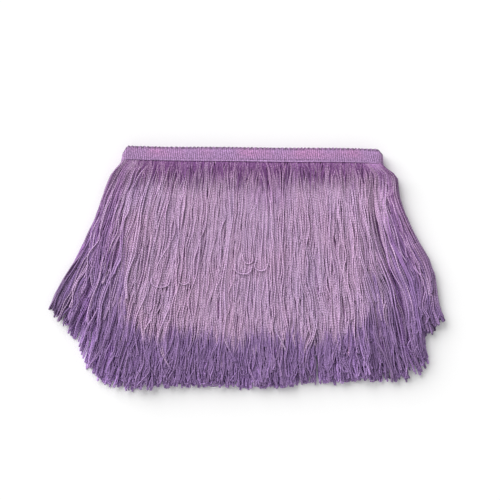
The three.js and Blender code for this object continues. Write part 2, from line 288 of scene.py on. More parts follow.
# ---- Colours ----
# Pale cords mix the lilacs and deep ones the violets: the lilacs stand for the yarn painted as lit, the
# violets for it in painted shade.
PINK_LILAC = (0.567, 0.39, 0.556, 1)
BLUE_LILAC = (0.513, 0.379, 0.568, 1)
DEEP_VIOLET = (0.322, 0.203, 0.43, 1)
WARM_VIOLET = (0.335, 0.145, 0.395, 1)
HEADER_LILAC = (0.42, 0.24, 0.475, 1)
HEADER_PINK = (0.50, 0.24, 0.478, 1)
# The tint of painted shade: in gaps, on the cords' undersides and below the header.
GAP_SHADE_TINT = (1.0, 0.68, 1.0, 1)
FLOOR_WHITE = (0.93, 0.93, 0.93, 1)
YARN_STITCH = 1.7
# Noise scales, in cells for a metre, and the heights of relief.
YARN_MOTTLE = 1100.0
YARN_CLOUDS = 34.0
HEADER_FUZZ = 750.0
HEADER_CLOUDS = 60.0
YARN_RELIEF = 0.18 * MM
HEADER_RELIEF = 0.15 * MM
# Pinker patches of the header.
HEADER_PATCHES = [
    {"x": -65.0, "reach": 9.0, "strength": 0.6},
    {"x": 0.0, "reach": 34.0, "strength": 0.25},
    {"x": 41.0, "reach": 16.0, "strength": 1.0},
    {"x": 70.0, "reach": 8.0, "strength": 0.5},
]
# The pale middle of the fringe, painted as lit: a rectangle with round corners, that fades from and to
# these distances outside it. Outside it, the sides and the lower band are in painted shade.
PALE = {"x": -1, "half_width": 88.0, "top": 10.0, "bottom": -118.0, "corner": 30.0, "from": -5, "to": 6}
# Painted light on some cords at both shoulders.
SHOULDER_LIGHTS = [
    {"x": -86, "y": -20, "wide": 12, "tall": 26},
    {"x": 91, "y": -20, "wide": 11, "tall": 19},
]
# The trim's sides, a little inside its outline: distances from the middle at these distances down.
RIM_DOWN = [0, 9.5, 97]
RIM_LEFT = [87, 92, 134]
RIM_RIGHT = [87, 95, 129]
# Painted shade at the trim's rim, by side, and in its lower right corner.
RIM_SHADE_BY_SIDE = (0.3, 0.15)
CORNER_SHADE = 0.14
# Zones, as distances from the middle or down from the header.
SIDE_ZONE = (40, 90)
CORNER_ACROSS = (68, 88)
CORNER_DOWN = (90, 110)
LOWER_BAND = (110, 126)
# A buried layer is hidden up to this share of its length, up to this height and, where it is higher,
# down to this distance from the header.
HIDDEN_STRETCH = (0.82, 0.95)
HIDDEN_HEIGHT = (4.4, 5.2)
HIDDEN_DOWN = (22, 32)
# Painted shade: a darker band lies below the header, over this length, where the header shades the
# roots. A share of the cords is largely without it, and a larger one in the zone at the sides.
ROOT_BAND = 10.5
BARE_SHARE = 0.15
SPARED_SHARE = 0.75
SPARED_ZONE = (72, 81)
ROOT_SHADE_BRIGHTNESS = (0.54, 0.9)
ROOT_STARTS = (-6, 14.5)
NO_BAND_BY = 30

# ---- Floor, light and camera ----
FLOOR_HALF = 2500.0
SKY_STRENGTH = 0.52
SUN_STRENGTH = 4.93
SUN_SPREAD = math.radians(58)
SUN_ELEVATION = math.radians(22)
SUN_AZIMUTH = math.radians(131)
PICTURE_WIDTH = 500
MM_PER_PIXEL = 0.68
VIEW_WIDTH = PICTURE_WIDTH * MM_PER_PIXEL
VIEW_CENTRE = (-0.9, -59.5)
VIEW_LEVEL = 5
CAMERA_ROLL = math.radians(0.8)
LENS = 85.0
SENSOR = 36.0


# ---- Small helpers ----
def ramp(v, start, end):
    """0 up to the start, 1 from the end on, and 3t² - 2t³ between them."""
    t = np.clip((v - start) / (end - start), 0.0, 1.0)
    return t * t * (3 - 2 * t)


def mix(a, b, share):
    return a + (b - a) * share


def by_side(x, left, right):
    return np.where(x < 0, left, right)


def header_line(x):
    """The sum of the header's slow waves, height * sin(2 pi x / length)."""
    return sum(w["height"] * np.sin(TAU * x / w["length"]) for w in HEADER_WAVES)


def placed(x, y, z, inner):
    """Moves points of the straight winding to where they lie.

    At the ends, by s = ramp(|x|) over END_ZONE: outwards by s * mix(flare_bottom, -flare_top, y /
    height), and down by s * mix(lower_by, corner_drop, y / height). The inner turn lies lower, by
    INNER_LOWER and at the ends by INNER_TURN_LOWER more, and all follows the header's slow waves.
    """
    share = ramp(np.abs(x), half_width - END_ZONE, half_width)
    up = y / HEADER_HEIGHT

    def end(name):
        return by_side(x, END_LEFT[name], END_RIGHT[name])

    outward = share * mix(end("flare_bottom"), -end("flare_top"), up)
    down = share * mix(end("lower_by"), end("corner_drop"), np.clip(up, 0, 1))
    slipped = inner * (INNER_TURN_LOWER * share + INNER_LOWER)
    moved_x = x + end("side") * outward
    moved_y = y - down - slipped + header_line(x)
    return np.stack(np.broadcast_arrays(moved_x, moved_y, z), -1)


straight_x = np.linspace(-half_width + END_ZONE, half_width - END_ZONE, 500)
header_low, header_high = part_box("header")
ORIGIN = np.array([
    (header_low[0] + header_high[0]) / 2 / MM,
    header_high[1] / MM - HEADER_HEIGHT - header_line(straight_x).max(),
    0.0,
])


def new_piece(name, points, faces, material, uv, colour):
    """A smooth mesh object from points in millimetres from the header, a row of uv and of colour for
    each point, and faces as lists of points. The colours become the attribute "tone"."""
    mesh = bpy.data.meshes.new(name)
    mesh.from_pydata(((points.reshape(-1, 3) + ORIGIN) * MM).tolist(), [], faces)
    mesh.polygons.foreach_set("use_smooth", np.ones(len(mesh.polygons), bool))
    corner = np.empty(len(mesh.loops), np.int64)
    mesh.loops.foreach_get("vertex_index", corner)
    at_corners = uv.reshape(-1, 2)[corner].astype(np.float32)
    mesh.uv_layers.new(name="UVMap").data.foreach_set("uv", at_corners.ravel())
    tone = mesh.color_attributes.new("tone", "FLOAT_COLOR", "POINT")
    tone.data.foreach_set("color", colour.astype(np.float32).ravel())
    mesh.materials.append(material)
    mesh.validate()
    mesh.update()
    piece = bpy.data.objects.new(name, mesh)
    bpy.context.scene.collection.objects.link(piece)
    return piece


# ---- Shader maths ----
class Value:
    """A shader socket that can be written in arithmetic."""

    def __init__(self, tree, socket):
        self.tree, self.socket = tree, socket

    def math(self, operation, *others):
        node = self.tree.nodes.new("ShaderNodeMath")
        node.operation = operation
        for slot, value in zip(node.inputs, (self, *others)):
            if isinstance(value, Value):
                self.tree.links.new(value.socket, slot)
            else:
                slot.default_value = value
        return Value(self.tree, node.outputs[0])

    def __add__(self, other):
        return self.math("ADD", other)

    __radd__ = __add__

    def __mul__(self, other):
        return self.math("MULTIPLY", other)

    __rmul__ = __mul__

    def __sub__(self, other):
        return self.math("SUBTRACT", other)

    def __rsub__(self, other):
        return (self * -1) + other

    def __truediv__(self, other):
        return self.math("DIVIDE", other)

    def __abs__(self):
        return self.math("ABSOLUTE")

    def sine(self):
        return self.math("SINE")

    def fraction(self):
        return self.math("FRACT")

    def clamped(self):
        return self.math("MAXIMUM", 0.0).math("MINIMUM", 1.0)


class Finish:
    """One node material. `made` adds a node of any type with its settings and inputs."""

    def __init__(self, name):
        self.material = bpy.data.materials.new(name)
        self.material.use_nodes = True
        self.tree = self.material.node_tree
        self.shader = self.tree.nodes["Principled BSDF"]

    def made(self, kind, settings=None, inputs=None):
        node = self.tree.nodes.new(kind)
        for key, value in (settings or {}).items():
            setattr(node, key, value)
        for key, value in (inputs or {}).items():
            self.put(node.inputs[key], value)
        return node

    def put(self, slot, value):
        if isinstance(value, Value):
            value = value.socket
        if isinstance(value, bpy.types.NodeSocket):
            self.tree.links.new(value, slot)
        else:
            slot.default_value = value

    def values(self, *sockets):
        return [Value(self.tree, socket) for socket in sockets]

    def coordinates(self, kind):
        """The x, y and z of the UV or Object coordinates."""
        source = self.made("ShaderNodeTexCoord").outputs[kind]
        return self.values(*self.made("ShaderNodeSeparateXYZ", inputs={0: source}).outputs)

    def attribute(self, name):
        """The four channels of a colour attribute."""
        source = self.made("ShaderNodeAttribute", {"attribute_name": name})
        parts = self.made("ShaderNodeSeparateColor", inputs={0: source.outputs["Color"]})
        return self.values(*parts.outputs, source.outputs["Alpha"])

    def noise(self, scale, detail):
        place = self.made("ShaderNodeTexCoord").outputs["Object"]
        inputs = {"Scale": scale, "Detail": detail, "Vector": place}
        return Value(self.tree, self.made("ShaderNodeTexNoise", inputs=inputs).outputs["Fac"])

    def mixed(self, share, a, b, blend="MIX"):
        """Two colours mixed. The Mix node's slots 0, 6 and 7 are its factor and its two colours."""
        settings = {"data_type": "RGBA", "blend_type": blend}
        return self.made("ShaderNodeMix", settings, {0: share, 6: a, 7: b}).outputs[2]

    def paint(self, colour, brightness):
        scale = {"operation": "SCALE"}
        painted = self.made("ShaderNodeVectorMath", scale, {0: colour, "Scale": brightness})
        self.put(self.shader.inputs["Base Color"], painted.outputs[0])

    def emboss(self, height, distance, strength):
        inputs = {"Height": height, "Distance": distance, "Strength": strength}
        self.put(self.shader.inputs["Normal"], self.made("ShaderNodeBump", inputs=inputs).outputs[0])

    def set(self, **constants):
        for name, value in constants.items():
            self.shader.inputs[name.replace("_", " ")].default_value = value


def yarn_finish():
    """Silky knitted cord: colour from the piece's own tone, and a chain of slanting stitches.

    A stitch is |sin(pi (length / YARN_STITCH + slant))|; it paints shade between the stitches and a
    painted highlight on their crowns. Pale cords lie between two lilacs, and deep ones between two
    violets, the warmer one near the header. Where the fourth channel is low, the colour is multiplied
    by the gap tint, as painted shade.
    """
    look = Finish("yarn")
    along, around, _ = look.coordinates("UV")
    tone, brightness, hue, unshaded_share = look.attribute("tone")
    slant = abs((around * 2.0).fraction() - 0.5) * 0.8
    stitch = abs(((along / YARN_STITCH + slant) * math.pi).sine())
    mottle = look.noise(YARN_MOTTLE, 2.0)
    cloudy = (look.noise(YARN_CLOUDS, 1.0) * 1.2 + hue * 0.5 - 0.5).clamped()
    _, up, _ = look.coordinates("Object")
    lower = (0.95 - up * 13.0 + (cloudy - 0.5) * 0.6).clamped()
    pale = look.mixed(cloudy, PINK_LILAC, BLUE_LILAC)
    deep = look.mixed(lower, WARM_VIOLET, DEEP_VIOLET)
    shaded = (1 - unshaded_share).clamped()
    # Painted shade: the gap tint, where the fourth channel is low.
    colour = look.mixed(shaded, look.mixed(tone, deep, pale), GAP_SHADE_TINT, "MULTIPLY")
    # Painted shade between the stitches and a painted highlight on their crowns.
    look.paint(colour, brightness * ((stitch - 0.64) * (tone * 0.42 + 0.2) + 1) * (mottle + 0.5))
    look.emboss(stitch, distance=YARN_RELIEF, strength=0.5)
    look.set(Roughness=0.5, Specular_IOR_Level=0.14)
    return look.material


def header_finish():
    """Crocheted band: painted shade darkens its stitches' valleys, with patches of a pinker lilac."""
    look = Finish("header_braid")
    _, up, _ = look.coordinates("UV")
    valley_shade, brightness, _, _ = look.attribute("tone")
    x, _, _ = look.coordinates("Object")
    across = x * (1 / MM) - float(ORIGIN[0])
    pink = (look.noise(HEADER_CLOUDS, 1.0) - 0.45) * 3.0
    for patch in HEADER_PATCHES:
        near = (1 - abs((across - patch["x"]) / patch["reach"])).clamped()
        pink = pink + near * patch["strength"]
    fuzz = look.noise(HEADER_FUZZ, 2.0)
    belly = ((up / HEADER_HEIGHT - 0.1) * math.pi).sine().clamped()
    pink = pink.clamped() * belly * (fuzz * 2 - 0.1).clamped()
    colour = look.mixed(pink, HEADER_LILAC, HEADER_PINK)
    look.paint(colour, brightness * (valley_shade * 0.8 + 0.4) * (fuzz * 1.7 + 0.15))
    look.emboss(fuzz, distance=HEADER_RELIEF, strength=0.6)
    look.set(Roughness=0.62, Specular_IOR_Level=0.35, Sheen_Weight=0.25, Sheen_Roughness=0.5)
    return look.material


# ---- Header ----
def half_turn(side, low_z, high_z, reach):
    """Where the header turns round, from one height to another, within this reach from the middle."""
    radius = (high_z - low_z) / 2
    middle = side * (reach - HEADER_THICKNESS / 2 - radius)
    return {"x": middle, "z": (low_z + high_z) / 2, "radius": radius, "side": side}


OUTER_RIGHT = half_turn(1, Z_BACK_OUTER, Z_FRONT_OUTER, half_width)
OUTER_LEFT = half_turn(-1, Z_BACK_INNER, Z_FRONT_OUTER, half_width)
INNER_RIGHT = half_turn(1, Z_BACK_INNER, Z_FRONT_INNER, half_width - lift)


def winding():
    """The header's middle line: x, z, outward x, outward z, inner share and length so far at each step.

    Straight runs are x from one end to the other at one z. Half turns are centre + radius * (cos a,
    sin a) for a from -90 to 90 degrees or back.
    """
    stretches = []

    def run(from_x, to_x, z, out_z, inner, step):
        count = max(2, round(abs(to_x - from_x) / step))
        x = np.linspace(from_x, to_x, count, endpoint=False)
        stretches.append(np.stack(np.broadcast_arrays(x, z, 0, out_z, inner)))

    def turn(t, start, end, inner_start, inner_end, step):
        count = max(8, round(math.pi * t["radius"] / step))
        share = np.arange(count) / count
        a = np.radians(mix(start, end, share))
        out_x, out_z = t["side"] * np.cos(a), np.sin(a)
        x, z = t["x"] + t["radius"] * out_x, t["z"] + t["radius"] * out_z
        stretches.append(np.stack([x, z, out_x, out_z, mix(inner_start, inner_end, share)]))

    run(OUTER_CUT_X, OUTER_RIGHT["x"], Z_BACK_OUTER, -1, 0, FINE_STEP)
    turn(OUTER_RIGHT, -90, 90, 0, 0, FINE_STEP)
    run(OUTER_RIGHT["x"], OUTER_LEFT["x"], Z_FRONT_OUTER, 1, 0, FINE_STEP)
    turn(OUTER_LEFT, 90, -90, 0, 1, FINE_STEP)
    run(OUTER_LEFT["x"], INNER_RIGHT["x"], Z_BACK_INNER, -1, 1, COARSE_STEP)
    turn(INNER_RIGHT, -90, 90, 1, 1, COARSE_STEP)
    run(INNER_RIGHT["x"], INNER_CUT_X, Z_FRONT_INNER, 1, 1, COARSE_STEP)
    x, z, out_x, out_z, inner = np.concatenate(stretches, axis=1)
    along = np.concatenate([[0], np.cumsum(np.hypot(np.diff(x), np.diff(z)))])
    return x, z, out_x, out_z, inner, along


def section_rows():
    """The header's section: heights down its outer face and up its inner one, and 1 or -1 for the face.

    The outer rows lie between even ones and ones that crowd at both edges, (1 - cos(pi t)) / 2.
    """
    even = np.linspace(0, 1, OUTER_ROWS)
    outer_y = HEADER_HEIGHT * (1 - mix(even, (1 - np.cos(np.pi * even)) / 2, ROW_CROWDING))
    inner_y = np.linspace(0, HEADER_HEIGHT, INNER_ROWS + 2)[1:-1]
    face = np.repeat([1, -1], [OUTER_ROWS, INNER_ROWS])
    return np.concatenate([outer_y, inner_y])[None, :], face[None, :]


def header_crochet(x, u, y):
    """The crochet's patterns at x, length u and height y: a sway, and others from 0 to 1 on a ridge.

    rib = |sin(pi (u + sway) / pitch)|^0.9, with the sway a sum of size * sin(u / length + lean * y).
    stitch = a cosine of y that is half a pitch off in every other rib. twist = a slanting cosine on
    the corded lower edge. groove = a bell curve above that edge. edge = how far the corded edge shows.
    """
    sway = sum(w["size"] * np.sin(u / w["length"] + w["lean"] * y) for w in STITCH_SWAYS)
    edge = ramp(x, *EDGE_CORD_ZONE) * (1 - 0.6 * ramp(x, *EDGE_CORD_FADE))
    return {
        "sway": sway,
        "rib": np.abs(np.sin(np.pi * (u + sway) / RIB_PITCH)) ** 0.9,
        "stitch": 0.5 + 0.5 * np.cos(TAU * (y / STITCH_PITCH + 0.5 * np.floor(u / RIB_PITCH))),
        "twist": 0.5 + 0.5 * np.cos(TAU * (u / RIB_PITCH - y / EDGE_CORD * 0.7)),
        "groove": np.exp(-(((y - EDGE_CORD - GROOVE_WIDTH / 2) / (GROOVE_WIDTH / 2)) ** 2)),
        "edge": edge * (0.6 + 0.25 * np.sin(x / 13) + 0.15 * np.sin(x / 4.7)),
    }


def half_thickness(y, face, crochet):
    """From the header's middle to its face.

    Above EDGE_CORD: half its thickness, less the depth of its valleys and of the groove, and rounded
    off at the top as a square root. Below: that field too, thinner towards the edge, or a twisted cord
    with a half circle as its section, as far as the corded edge shows. The inner face stays flatter.
    """
    valleys = RIB_DEPTH * (1 - crochet["rib"]) + STITCH_DEPTH * (1 - crochet["stitch"])
    field = HEADER_THICKNESS / 2 - valleys
    round_top = np.sqrt(np.clip((HEADER_HEIGHT - y) / TOP_ROUNDING, 0, 1))
    body = (field - GROOVE_DEPTH * crochet["groove"] * crochet["edge"]) * round_top

    circle = np.clip(1 - (y / EDGE_CORD * 2 - 1) ** 2, 0, 1) ** 0.5
    circle = np.where(y < EDGE_CORD / 2, mix(0.8, 1, circle), circle)
    twisted = circle * EDGE_CORD_THICKNESS / 2 * (0.84 + 0.16 * crochet["twist"])
    plain = field * mix(0.88, 1, np.sqrt(np.clip(y / BOTTOM_ROUNDING, 0, 1)))
    lower = np.maximum(mix(plain, twisted, crochet["edge"]), EDGE_THINNEST * (y > 0))

    half = np.where(y < EDGE_CORD, lower, body)
    return np.where((face < 0) & (y >= EDGE_CORD), np.minimum(half, INNER_FACE_MOST), half)


def header_heights(x, u, y, sway):
    """Heights with the scalloped upper edge and the lifted lower edge.

    The upper edge is at height + picot * uneven * (|sin(pi (u + sway) / picot pitch)|^0.7 - 0.6), and
    the rows between PICOTS_FROM and the edge stretch with it. The lower edge is lifted by EDGE_LIFT,
    which falls to 0 at the top.
    """
    uneven = 0.6 + 0.4 * np.sin(u / 2.3 + 2 * np.sin(u / 11.0)) * np.sin(u / 5.9)
    picot = np.abs(np.sin(np.pi * (u + sway) / PICOT_PITCH)) ** 0.7 - 0.6
    top = HEADER_HEIGHT + PICOT_HEIGHT * uneven * picot
    stretched = y * mix(1, top / HEADER_HEIGHT, ramp(y, PICOTS_FROM, HEADER_HEIGHT))
    return stretched + mix(*EDGE_LIFT, ramp(x, *EDGE_LIFT_ZONE)) * (1 - y / HEADER_HEIGHT)


def header_colours(x, u, y, crochet):
    """Two channels, the painted shade of the valleys and brightness, and two that stay 1.

    The painted shade lies in the crochet's own valleys, in the groove above the corded edge and
    between the twists of that cord. The header is dimmer towards its upper edge, as painted shade
    there, at the plain stretches of its lower edge and in HEADER_SHADES.
    """
    # Painted shade in the valleys of ribs and stitches, in the groove and between the cord's twists.
    ribbed = mix(1, crochet["rib"], mix(1, 0.5, ramp(y, 5.5, 7.5)))
    groove_shade = 0.8 * crochet["groove"] * crochet["edge"]
    field = ribbed * (0.7 + 0.3 * crochet["stitch"]) * (1 - groove_shade)
    valley_shade = np.where(y < EDGE_CORD, 0.6 + 0.4 * crochet["twist"], field)
    # Painted shade along the upper edge, uneven along its length.
    top_edge_shade = 0.42 + 0.2 * np.sin(u * 1.9 + 2 * np.sin(u / 3.7))
    lower = np.where(y < EDGE_CORD, 0.86 + 0.2 * crochet["edge"], 1.0)
    # Darker in HEADER_SHADES, and at the left end's turn this is painted shade.
    dimmer = sum(d["by"] * ramp(d["side"] * x, d["from"], d["to"]) for d in HEADER_SHADES)
    brightness = lower * mix(1, top_edge_shade, ramp(y, *TOP_EDGE_SHADE)) * (1 - dimmer)
    return np.stack(np.broadcast_arrays(valley_shade, brightness, 1, 1), -1)


def make_header(material):
    """The crocheted band: columns along the winding and rows round its section, closed at both cuts."""
    x, z, out_x, out_z, inner, u = (column[:, None] for column in winding())
    y, face = section_rows()
    crochet = header_crochet(x, u, y)
    outward = face * half_thickness(y, face, crochet)
    heights = header_heights(x, u, y, crochet["sway"][:, :1])
    points = placed(x + outward * out_x, heights, z + outward * out_z, inner)
    uv = np.stack(np.broadcast_arrays(u, y), -1)

    columns, rows = points.shape[:2]
    i, k = np.meshgrid(np.arange(columns - 1), np.arange(rows), indexing="ij")
    after = (k + 1) % rows
    quads = np.stack([i * rows + k, i * rows + after, (i + 1) * rows + after, (i + 1) * rows + k], -1)
    first = np.arange(rows)[::-1]
    last = (columns - 1) * rows + np.arange(rows)
    faces = quads.reshape(-1, 4).tolist() + [first.tolist(), last.tolist()]
    piece = new_piece("header_braid", points, faces, material, uv, header_colours(x, u, y, crochet))
    return piece, u[-1, 0]


# ---- Fringe: where its cords lie ----
def base_path(root, fan_x, rest_z, settle, s):
    """Where cords lie: one row for each cord, a column for each share s of the full length.

    x = root + shoulder * ramp(down) + reach * (s - bend * s * (1 - s)) + s * (1 - s / 2) * slow waves,
    y = root - down and z = mix(root z, rest z, ramp(down)), with down = fall * s. There is a bend only
    on the right side, from BEND_ZONE to BEND_END.
    """
    root_x, root_y, root_z = root[:, 0:1], root[:, 1:2], root[:, 2:3]
    fan_x = fan_x[:, None]
    tip_x = np.interp(fan_x, FAN_ROOT, FAN_TIP_X)
    tip_y = np.interp(fan_x, FAN_ROOT, FAN_TIP_Y)
    shoulder = np.sign(fan_x) * np.interp(fan_x, FAN_ROOT, FAN_SHOULDER)
    down = (root_y - tip_y) * s
    waves = sum(w["size"] * np.sin(TAU * (s * w["turns"] + fan_x / w["repeat"])) for w in SLOW_WAVES)
    bend = RIGHT_BEND * ramp(fan_x, *BEND_ZONE) * (1 - ramp(fan_x, *BEND_END))
    reach = tip_x - root_x - shoulder
    x = root_x + shoulder * ramp(down, 0, SHOULDER) + reach * (s - bend * s * (1 - s))
    x = x + s * (1 - s / 2) * waves
    z = mix(root_z, rest_z[:, None], ramp(down, 0, settle))
    return np.stack([x, root_y - down, z], -1)


def loop_steps():
    """A loop's steps: share of the length, 1 or -1 for its leg, and how far round the tip.

    They go down one leg, share = 1 - (1 - t)^1.15, round the tip as cos a and sin a, and up the other.
    """
    leg = 1 - (1 - np.linspace(0, 1, LEG_STEPS)) ** 1.15
    a = np.linspace(0, np.pi, TIP_STEPS + 2)[1:-1]
    same, none = np.ones(LEG_STEPS), np.zeros(LEG_STEPS)
    share = np.concatenate([leg, np.ones(TIP_STEPS), leg[::-1]])
    side = np.concatenate([same, np.cos(a), -same])
    beyond = np.concatenate([none, np.sin(a), none])
    return share[None, :], side[None, :], beyond[None, :]


class Bunch:
    """The loops of one layer, with the random draws that they share.

    Arrays hold a row for each loop and a column for each step. The fringe's outline is cut into short
    stretches and, apart from that, into longer ones: the loops of a short one form a group, and those
    of a long one a lock. The rim is 0 in the middle of the trim and 1 at its sides.
    """

    def __init__(self, rng, loops, slack):
        self.rng, self.slack = rng, slack
        self.root_x, self.fan_x, self.rest_z = loops["root_x"], loops["fan_x"], loops["rest_z"]
        self.tip_width, self.tip_lean = loops["tip_width"][:, None], loops["tip_lean"][:, None]
        self.count = len(self.root_x)
        self.root = placed(self.root_x, ROOT_INSIDE, loops["root_z"], loops["inner"])
        self.share, self.side, self.beyond = loop_steps()
        self.first_leg = 1.0 * (self.side > 0)

        arc = np.interp(self.fan_x, FAN_ROOT, tip_share) * tip_arc
        self.groups = round(tip_arc / GROUP_WIDTH)
        shift = rng.uniform(0, 1)
        self.group = np.clip((arc / GROUP_WIDTH + shift).astype(int), 0, self.groups - 1)
        self.group_x = self.fan_at((self.group + 0.5 - shift) * GROUP_WIDTH)
        ragged = rng.normal(0, 1, self.groups)[self.group]
        shorter = loops["short"] + (np.abs(ragged) - 0.9) * slack
        self.s = self.share * (1 - shorter[:, None] / FRINGE_LENGTH)
        self.settle = self.draw(*SETTLE)
        edges = np.cumsum(rng.uniform(*LOCK_WIDTH, LOCKS))
        edges *= tip_arc / edges[-1]
        self.lock = np.clip(np.searchsorted(edges, arc), 1, LOCKS - 1)
        self.lock_x = self.fan_at((edges[self.lock] + edges[self.lock - 1]) / 2)

        self.off_middle = np.abs(self.fan_x)[:, None]
        self.outside = np.sign(self.fan_x)[:, None]
        self.rim = ramp(self.off_middle, 0, RIM_FROM)
        self.loose = slack * (1 - 0.8 * (self.tip_lean != 0))
        self.tangle = ramp(self.s, *TANGLE_STRETCH) * self.loose

    def fan_at(self, arc):
        return np.interp(arc / tip_arc, tip_share, FAN_ROOT)

    def draw(self, low, high):
        """A random value for each loop."""
        return self.rng.uniform(low, high, (self.count, 1))

    def spread(self, size):
        """A random value for each loop, around 0."""
        return self.rng.normal(0, size, (self.count, 1))

    def in_groups(self, values):
        return values[self.group][:, None]

    def in_locks(self, values):
        return values[self.lock][:, None]

    def wave(self, size, low, high):
        """A random sine for each loop, size * sin(2 pi (turns * s + phase)), turns from low to high."""
        turns = self.draw(low, high)
        phase = self.draw(0, 1)
        return self.spread(size) * np.sin(TAU * (turns * self.s + phase))

    def each_leg(self, size, low, high):
        """Two such waves, one for each leg of the loops."""
        first = self.wave(size, low, high) * self.first_leg
        return first + self.wave(size, low, high) * (1 - self.first_leg)

    def path_from(self, fan_x):
        return base_path(self.root, fan_x, self.rest_z, self.settle, self.s)

    def side_value(self, pair):
        return by_side(self.outside, *pair)


def gather(bunch, risers):
    """The loops' own paths, drawn towards their group's path at the rim, and then to their lock's.

    Also gives 1 for the loops that rise out of the layer, and 0 for the others.
    """
    path = bunch.path_from(bunch.fan_x)
    chance = risers * (1 + 0.9 * ramp(bunch.off_middle, *RISER_ZONE))
    rises = 1.0 * (bunch.draw(0, 1) < chance)
    to_group = TO_GROUP * bunch.rim * (1 - rises) * ramp(bunch.s, 0, 0.25)
    most_halfway = np.sin(np.pi * np.clip(bunch.s * 1.1, 0, 1))
    to_lock = bunch.draw(*TO_LOCK) * mix(1, 0.8 * bunch.slack, bunch.rim) * most_halfway
    for middle_x, share in ((bunch.group_x, to_group), (bunch.lock_x, to_lock)):
        path[..., :2] = mix(path[..., :2], bunch.path_from(middle_x)[..., :2], share[..., None])
    return path, rises


def droop(bunch, path, rises, size):
    """Lets the lower part of loops near the rim hang inwards, and bows the outermost ones."""
    hanging = bunch.in_groups(bunch.rng.uniform(0, 1, bunch.groups)) < HANGING_GROUPS
    most, least = bunch.draw(0.5, 1), bunch.draw(0, 0.2)
    size = np.where(hanging, most, least) * bunch.rim**3 * size
    size = size * bunch.side_value(DROOP_BY_SIDE) * (1 - 0.7 * rises)
    hang = size * ramp(bunch.s, *DROOP_STRETCH)
    share, left, right = END_BOWS.T
    bow = by_side(bunch.outside, np.interp(bunch.s, share, left), np.interp(bunch.s, share, right))
    path[..., 0] += bunch.outside * (bow * ramp(bunch.off_middle, *BOW_ZONE) - hang)
    path[..., 1] -= hang * DROOP_FALL
    path[..., 2] += 0.5 * hang / (hang + 5)


def lock_sway(bunch):
    """Locks lean as s^1.5, bend and curl: sines of s that grow as s and as its square root."""
    lean, bend, curl = (bunch.in_locks(bunch.rng.normal(0, 1, LOCKS)) for _ in range(3))
    phase = bunch.in_locks(bunch.rng.uniform(0, 1, LOCKS))
    s, rim = bunch.s, bunch.rim
    sway = mix(*LOCK_PLAY, rim) * (lean * s**1.5 + 0.6 * bend * s * np.sin(TAU * (0.9 * s + phase)))
    sway += mix(*LOCK_CURL, rim) * curl * np.sqrt(s) * np.sin(TAU * (2.3 * s + phase))
    return sway * mix(1, bunch.slack, rim)


def group_sway(bunch):
    """Groups near the rim wave, as a sine that grows as the root of s, and lean as s²."""
    rng, groups, s = bunch.rng, bunch.groups, bunch.s
    turns = bunch.in_groups(rng.uniform(2.0, 4.4, groups))
    phase = bunch.in_groups(rng.uniform(0, 1, groups))
    size = bunch.in_groups(rng.normal(0, 1, groups))
    lean = bunch.in_groups(rng.normal(0, 1, groups))
    sway = GROUP_PLAY["wave"] * size * np.sqrt(s) * np.sin(TAU * (turns * s + phase))
    return bunch.rim * (sway + GROUP_PLAY["lean"] * lean * s**2 * mix(1, bunch.slack, bunch.rim))


def own_sway(bunch, rises):
    """Each loop's own waves, then those of its legs, and a tangle towards the tips."""
    s, rim, halfway = bunch.s, bunch.rim, np.sin(np.pi * bunch.share)
    slow, quick = OWN_WAVES
    sway = bunch.wave(*slow) * s + bunch.wave(*quick) * np.sqrt(s)
    sway *= mix(1, bunch.side_value(OWN_PLAY_BY_SIDE), rim) * (1 + 0.5 * rises)
    sway += rises * mix(1, 0.6, rim) * bunch.wave(*RISER_WAVE) * np.sqrt(s)
    sway += bunch.wave(*FINE_WAVE)
    sway += bunch.tangle * bunch.spread(TANGLED_LEAN)
    slow, quick = LEG_WAVES
    sway += bunch.each_leg(*slow) * halfway**0.7 * mix(1, 0.6, rim)
    sway += bunch.each_leg(*quick) * halfway**0.5
    sway += bunch.tangle * bunch.each_leg(*TANGLED_WAVE)
    return sway


def root_sway(bunch):
    """At the header, legs gather at every ROOT_GROUP and lean at random. This fades with exp(-down)."""
    to_group = np.round(bunch.root_x / ROOT_GROUP) * ROOT_GROUP - bunch.root_x
    lean = bunch.spread(ROOT_LEAN) * bunch.first_leg
    lean = lean + bunch.spread(ROOT_LEAN) * (1 - bunch.first_leg)
    from_end = half_width - END_ZONE - np.abs(bunch.root_x)
    sway = (to_group[:, None] * ROOT_GATHER + lean) * ramp(from_end, 0, 9)[:, None]
    return sway * np.exp(-bunch.s * FRINGE_LENGTH / ROOT_FADE)


def leg_distance(bunch):
    """Half the distance between a loop's legs: widest halfway, and mixed to the tip's own near it."""
    share, tip_width = bunch.share, bunch.tip_width
    is_open = tip_width > OPEN_TIP
    wide = mix(TIP_WIDTH, bunch.draw(*LEG_WIDTH), np.sin(np.pi * share) ** 0.5)
    opens_from = np.where(is_open, 0.5, 0.88)
    opened = np.clip((share - opens_from) / (1 - opens_from) * 1.1, 0, 1)
    return mix(wide, tip_width, np.where(is_open, opened, ramp(opened, 0, 1)))


